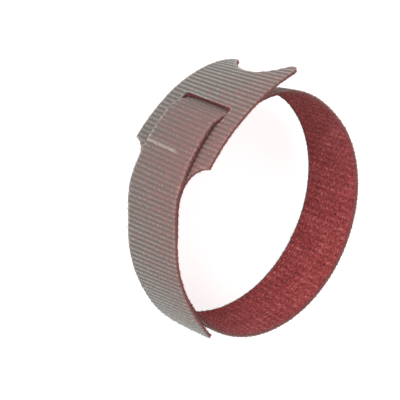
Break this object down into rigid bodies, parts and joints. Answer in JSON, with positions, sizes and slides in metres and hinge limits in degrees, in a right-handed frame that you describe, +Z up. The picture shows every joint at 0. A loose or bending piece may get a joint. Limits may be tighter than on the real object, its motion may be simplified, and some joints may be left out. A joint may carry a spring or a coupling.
{
  "type": "hook and loop cable tie",
  "caption": "Die-cut hook and loop cable tie closed into a ring, its strap pulled through the slot in its horned head.",
  "frame": {"origin": "on the surface that the ring lies on, under the middle of its outline", "axes": "+Z up, about along the axis of the ring, which leans 6.8 degrees because the head is wider than the strap; +X along the long way of the loop, on the side of the horns"},
  "size_m": [0.043, 0.0362, 0.0202],
  "materials": {
    "woven_back": "taupe ribbed weave with small hooks, matt",
    "loop_pile": "burgundy loop pile, matt and slightly fuzzy"
  },
  "bodies": {
    "root": {"cable_tie": "woven_back"}
  },
  "joints": []
}
